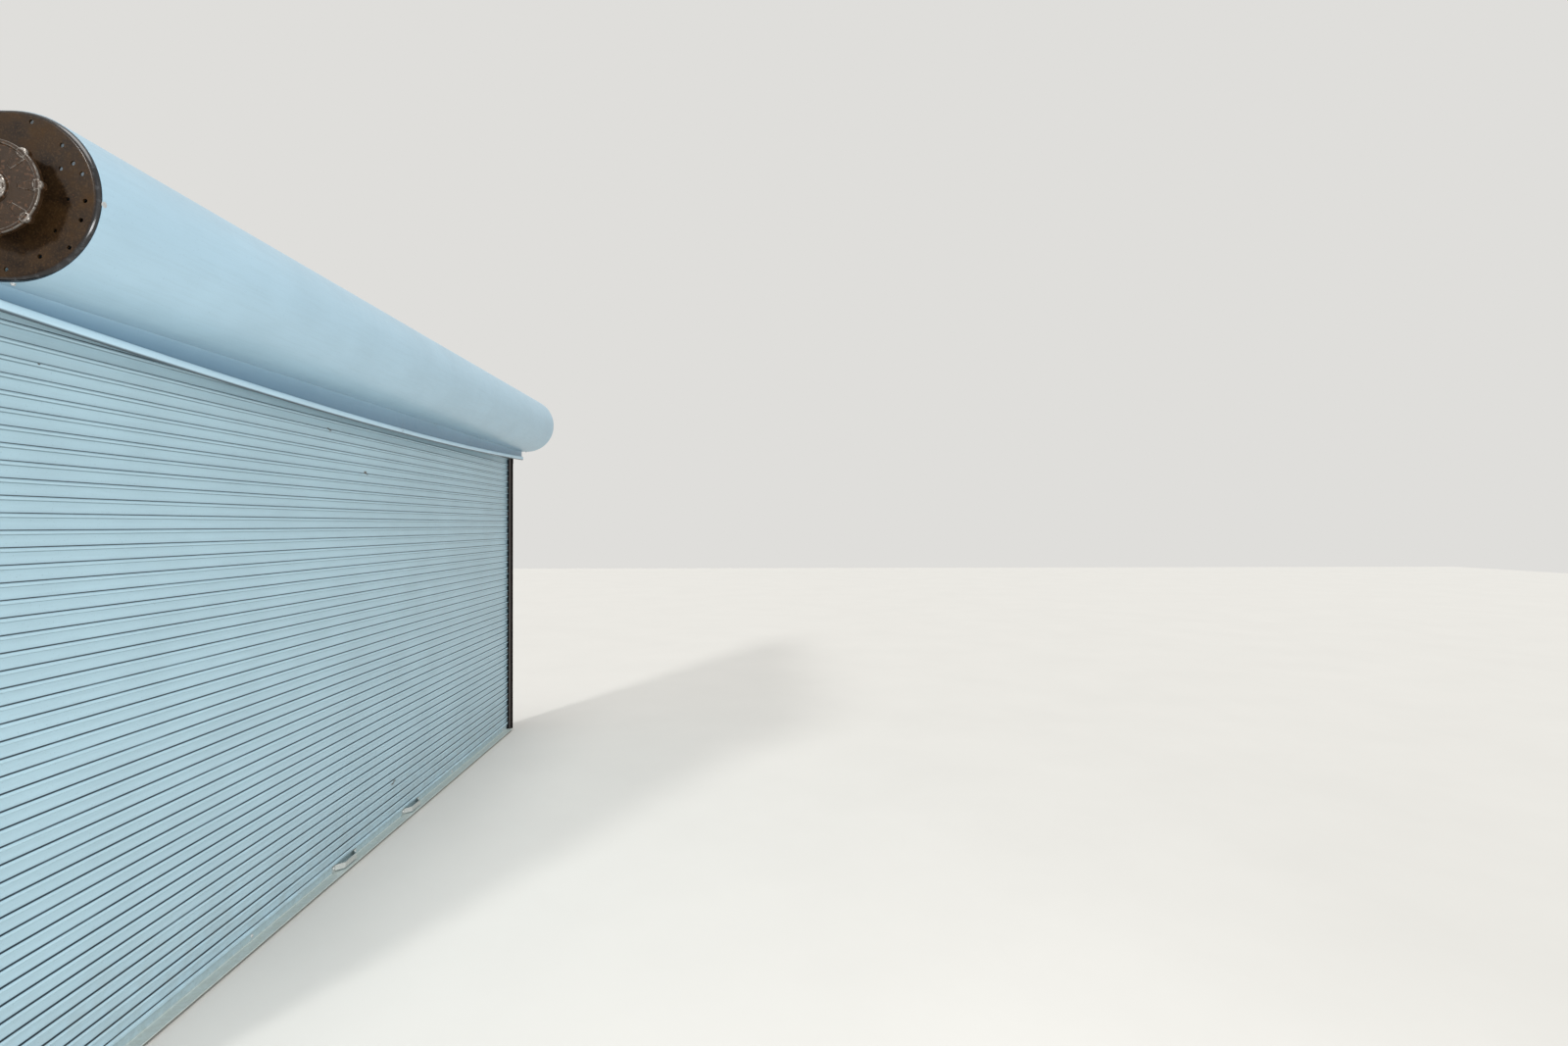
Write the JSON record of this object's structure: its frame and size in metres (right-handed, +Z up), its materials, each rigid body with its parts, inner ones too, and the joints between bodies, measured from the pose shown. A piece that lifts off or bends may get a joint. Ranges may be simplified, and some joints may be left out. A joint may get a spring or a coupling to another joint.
{
  "type": "roller shutter door",
  "caption": "Rolling steel service door, closed, with interlocking slats, round hood, barrel, spring tension wheel, wall guides and bottom bar.",
  "frame": {"origin": "at floor level on the wall face of the left wall angle, in line with its anchor holes", "axes": "+X along the door towards its driving end, +Y into the wall, +Z up; the room is at -Y"},
  "size_m": [4.9346, 0.4273, 2.6943],
  "materials": {
    "black_enamel": "gloss",
    "wheel_iron": "satin",
    "bearing_iron": "satin",
    "dark_primer": "matte",
    "shaft_steel": "satin",
    "zinc_steel": "satin",
    "galvanised_sheet": "satin",
    "galvanised_steel": "satin",
    "seal_rubber": "matte"
  },
  "bodies": {
    "root": {"left_wall_angle": "black_enamel", "right_wall_angle": "black_enamel", "left_inner_guide_angle": "black_enamel", "right_inner_guide_angle": "black_enamel", "left_outer_guide_angle": "black_enamel", "right_outer_guide_angle": "black_enamel", "left_bracket_plate": "black_enamel", "right_bracket_plate": "black_enamel", "left_bearing": "bearing_iron", "right_bearing": "bearing_iron", "tension_wheel": "wheel_iron", "wheel_lock_bolt": "zinc_steel", "tension_shaft": "shaft_steel", "drive_shaft": "shaft_steel", "barrel_pipe": "dark_primer", "left_barrel_plug": "bearing_iron", "right_barrel_plug": "bearing_iron", "lower_slats": "galvanised_sheet", "middle_slats": "galvanised_sheet", "upper_slats": "galvanised_sheet", "sloping_slats_to_barrel": "galvanised_sheet", "slats_on_barrel": "galvanised_sheet", "left_end_locks": "zinc_steel", "right_end_locks": "zinc_steel", "bottom_bar_web": "galvanised_sheet", "inner_bottom_angle": "galvanised_steel", "outer_bottom_angle": "galvanised_steel", "bottom_seal": "seal_rubber", "left_lift_handle": "galvanised_steel", "right_lift_handle": "galvanised_steel", "hood_sheet": "galvanised_sheet", "hood_lip": "galvanised_sheet", "hood_support": "dark_primer"}
  },
  "joints": []
}
